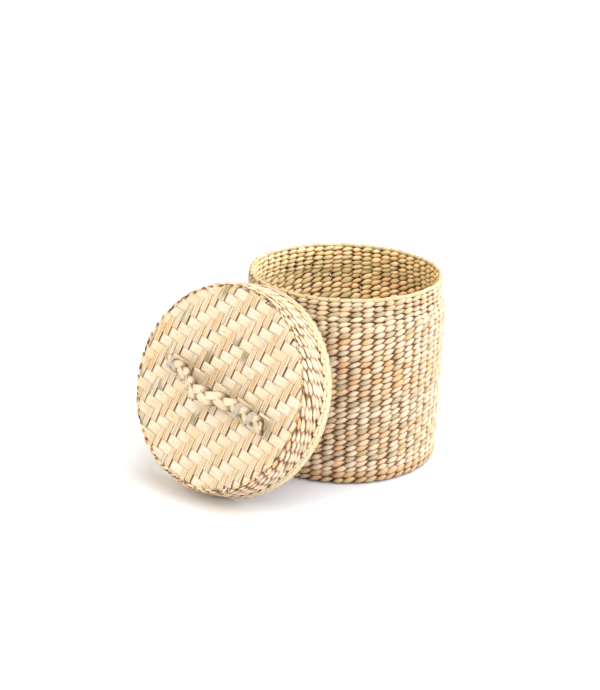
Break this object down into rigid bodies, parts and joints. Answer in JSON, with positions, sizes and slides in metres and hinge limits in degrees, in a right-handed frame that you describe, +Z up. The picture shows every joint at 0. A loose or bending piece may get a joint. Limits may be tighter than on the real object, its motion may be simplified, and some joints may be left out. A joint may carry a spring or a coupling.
{
  "type": "woven lidded box",
  "caption": "Round woven rush box with a straight twined wall, a folded rim and a cap lid with a twill face and a plaited handle, shown with the lid off and leaning on the rim.",
  "frame": {"origin": "centre of the base, on the surface that the box stands on", "axes": "+Z up along the box's axis; -Y is the front, where the lid leans at the left; +X to the right"},
  "size_m": [0.1945, 0.1899, 0.1305],
  "materials": {
    "weft_strand": "twisted dry rush, matt, straw to grey-green",
    "stake_strip": "flat dry rush strips, matt",
    "weft_inside": "twisted dry rush, matt, khaki",
    "border_strand": "folded pale rush, satin",
    "panel_strip": "flat pale rush strips in twill, satin, fine lengthwise fibres",
    "plait_strand": "plaited pale rush, satin",
    "cotton_thread": "soft twisted cotton thread"
  },
  "bodies": {
    "box": {"base_panel": "panel_strip", "box_stakes": "stake_strip", "weft_course_01": "weft_strand", "weft_course_02": "weft_strand", "weft_course_03": "weft_strand", "weft_course_04": "weft_strand", "weft_course_05": "weft_strand", "weft_course_06": "weft_strand", "weft_course_07": "weft_strand", "weft_course_08": "weft_strand", "weft_course_09": "weft_strand", "weft_course_10": "weft_strand", "weft_course_11": "weft_strand", "weft_course_12": "weft_strand", "weft_course_13": "weft_strand", "weft_course_14": "weft_strand", "weft_course_15": "weft_strand", "weft_course_16": "weft_strand", "weft_course_17": "weft_strand", "weft_course_18": "weft_strand", "weft_course_19": "weft_strand", "weft_course_20": "weft_strand", "weft_course_21": "weft_strand", "weft_course_22": "weft_strand", "weft_course_23": "weft_strand", "weft_course_24": "weft_strand", "weft_course_25": "weft_strand", "weft_course_26": "weft_strand", "weft_course_27": "weft_strand", "weft_course_28": "weft_strand", "weft_course_29": "weft_strand", "weft_course_30": "weft_strand", "weft_course_31": "weft_strand", "box_lining": "weft_inside", "rim_border": "border_strand"},
    "lid": {"lid_panel": "panel_strip", "lid_stakes": "stake_strip", "lid_course_1": "weft_strand", "lid_course_2": "weft_strand", "lid_course_3": "weft_strand", "lid_course_4": "weft_strand", "lid_course_5": "weft_strand", "lid_lining": "weft_inside", "lid_border": "border_strand", "left_lashing": "cotton_thread", "right_inner_lashing": "cotton_thread", "right_outer_lashing": "cotton_thread"},
    "handle": {"handle_strand_1": "plait_strand", "handle_strand_2": "plait_strand", "handle_strand_3": "plait_strand"}
  },
  "joints": [
    {"name": "lid_lift", "type": "slide", "parent": "box", "child": "lid", "axis": [0, 0, 1], "range_m": [0, 0.135]},
    {"name": "handle_swing", "type": "hinge", "parent": "lid", "child": "handle", "pos_m": [-0.07508, -0.09115, 0.07021], "axis": [0.7432, -0.6257, -0.2367], "range_deg": [-61, 29]}
  ]
}
